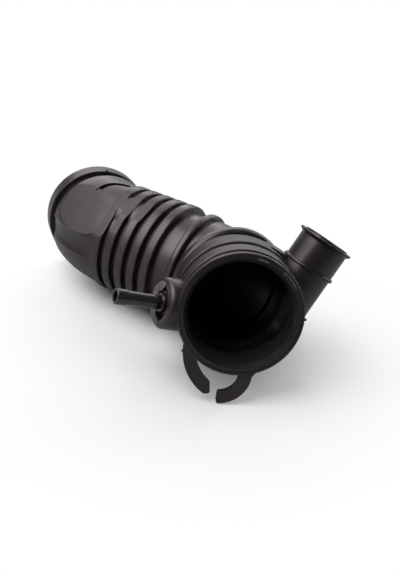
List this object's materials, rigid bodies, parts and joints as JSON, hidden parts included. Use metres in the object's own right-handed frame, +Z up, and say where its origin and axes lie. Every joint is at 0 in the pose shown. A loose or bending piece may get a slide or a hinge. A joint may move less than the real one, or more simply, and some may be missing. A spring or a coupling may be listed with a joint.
{
  "type": "air intake hose",
  "caption": "Moulded rubber engine air intake hose with a bellows middle, clamp cuffs at both ends, a branch pipe, rim hooks and a pressed-in hose nipple.",
  "frame": {"origin": "middle of the bounding box's underside, on the surface the hose lies on", "axes": "+Z up; -Y towards the front cuff's mouth; +X to the right as seen from the front"},
  "size_m": [0.2066, 0.191, 0.1009],
  "materials": {
    "rubber": "satin moulded rubber",
    "nipple_plastic": "glossy moulded plastic"
  },
  "bodies": {
    "root": {"rubber_hose": "rubber", "hose_nipple": "nipple_plastic"}
  },
  "joints": []
}
